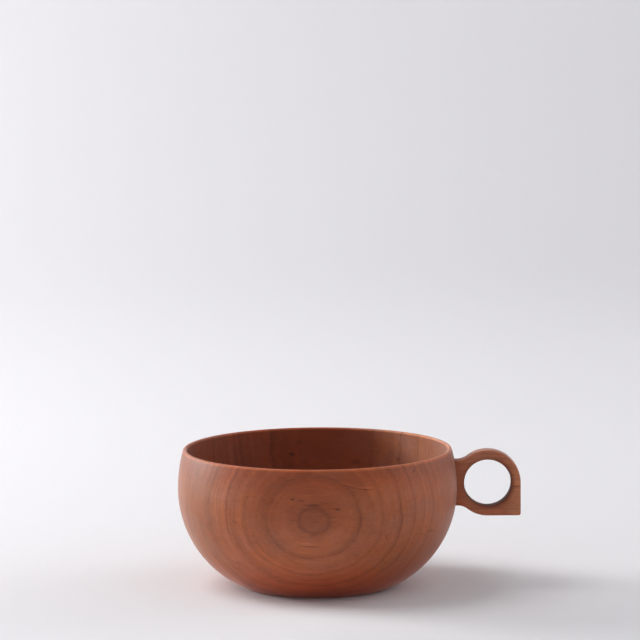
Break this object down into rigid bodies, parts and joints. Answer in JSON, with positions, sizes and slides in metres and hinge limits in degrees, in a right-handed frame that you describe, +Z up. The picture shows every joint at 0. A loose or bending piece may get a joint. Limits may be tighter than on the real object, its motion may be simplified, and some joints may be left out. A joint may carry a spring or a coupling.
{
  "type": "kuksa wooden cup",
  "caption": "Round turned wooden drinking cup with a thin rolled lip and a flat ring handle, with one square corner, glued to its side.",
  "frame": {"origin": "centre of the flat base, on the surface the cup stands on", "axes": "+Z up the bowl's axis, +X from the bowl's axis towards the ring handle, +Y through the finger hole"},
  "size_m": [0.1472, 0.12, 0.059],
  "materials": {
    "bowl_wood": "satin oiled, fine grain",
    "handle_wood": "satin oiled, straight grain",
    "dowel_wood": "plain birch, glued in"
  },
  "bodies": {
    "root": {"cup_body": "bowl_wood", "handle": "handle_wood", "handle_dowel_upper": "dowel_wood", "handle_dowel_lower": "dowel_wood"}
  },
  "joints": []
}
